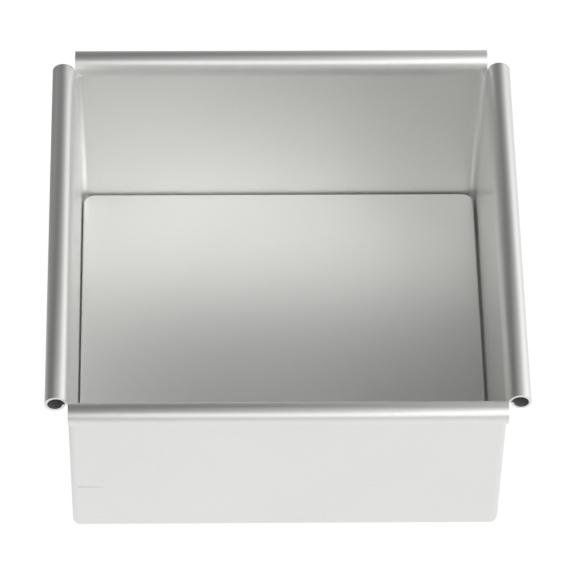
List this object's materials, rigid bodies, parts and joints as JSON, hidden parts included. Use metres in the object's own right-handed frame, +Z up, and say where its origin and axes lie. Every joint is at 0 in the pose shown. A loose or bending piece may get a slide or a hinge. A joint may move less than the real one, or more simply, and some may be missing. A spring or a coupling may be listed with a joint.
{
  "type": "square cake pan",
  "caption": "Square sheet-aluminium cake pan with straight walls, open-ended rolled rims and a flat loose base that pushes up and out.",
  "frame": {"origin": "centre of the footprint, on the surface that the pan stands on", "axes": "+Z up out of the open top, +X to the right wall and +Y to the rear wall, seen from the front"},
  "size_m": [0.1704, 0.1704, 0.0804],
  "materials": {
    "wall_sheet": "satin anodised sheet",
    "corner_weld": "dressed weld, satin anodised",
    "base_plate": "satin anodised plate"
  },
  "bodies": {
    "shell": {"front_wall": "wall_sheet", "rear_wall": "wall_sheet", "left_wall": "wall_sheet", "right_wall": "wall_sheet", "front_left_corner_weld": "corner_weld", "front_right_corner_weld": "corner_weld", "rear_left_corner_weld": "corner_weld", "rear_right_corner_weld": "corner_weld"},
    "base": {"loose_base": "base_plate"}
  },
  "joints": [
    {"name": "base_lift", "type": "slide", "parent": "shell", "child": "base", "axis": [0, 0, 1], "range_m": [0, 0.085]}
  ]
}
